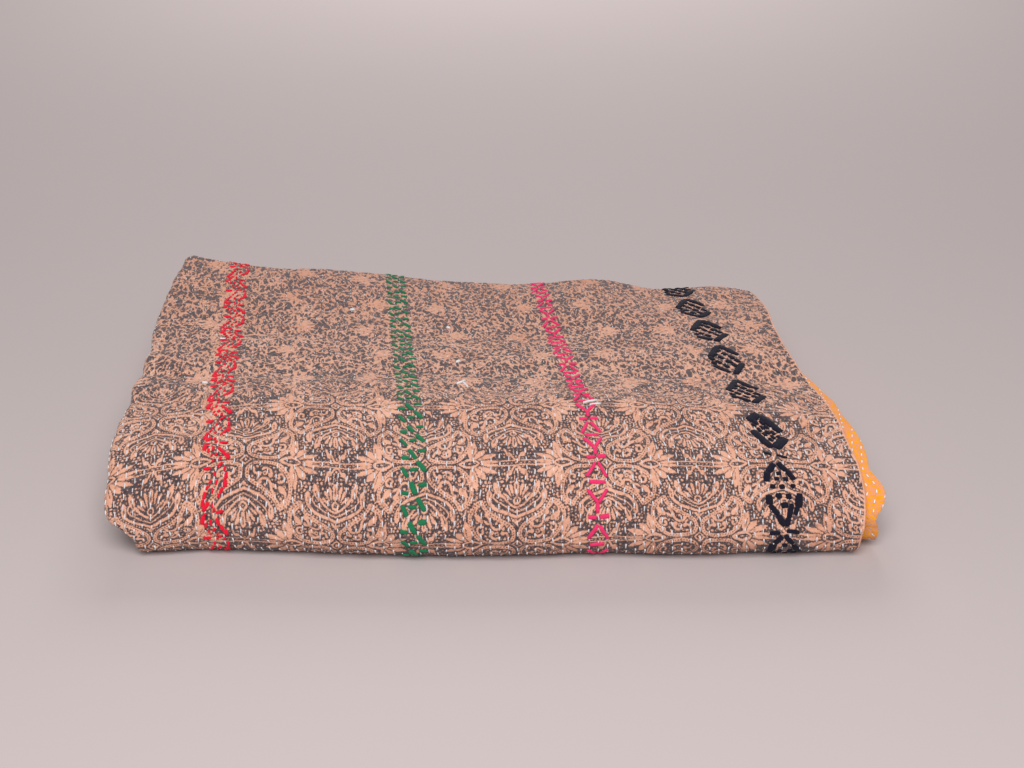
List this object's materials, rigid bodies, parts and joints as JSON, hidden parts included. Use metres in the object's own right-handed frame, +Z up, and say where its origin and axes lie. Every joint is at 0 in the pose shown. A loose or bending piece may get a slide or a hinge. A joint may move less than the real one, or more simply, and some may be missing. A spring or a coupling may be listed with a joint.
{
  "type": "folded kantha quilt",
  "caption": "Cotton kantha quilt with a printed face and an orange backing, folded in half across its width and twice along its length, lying flat.",
  "frame": {"origin": "centre of the bounding box of the folded quilt, on the plane it rests on", "axes": "+X from the folded side edge towards the hems, along the longest side; -Y is the rounded front fold and +Y the rear edges; +Z up, away from the surface it rests on"},
  "size_m": [0.658, 0.4672, 0.1011],
  "materials": {
    "printed_cotton": "matte cotton, peach damask print on charcoal, quilted with white running stitch",
    "orange_cotton": "matte cotton, orange with a fine salmon crackle print"
  },
  "bodies": {
    "root": {"printed_cloth": "printed_cotton", "orange_backing": "orange_cotton"}
  },
  "joints": []
}
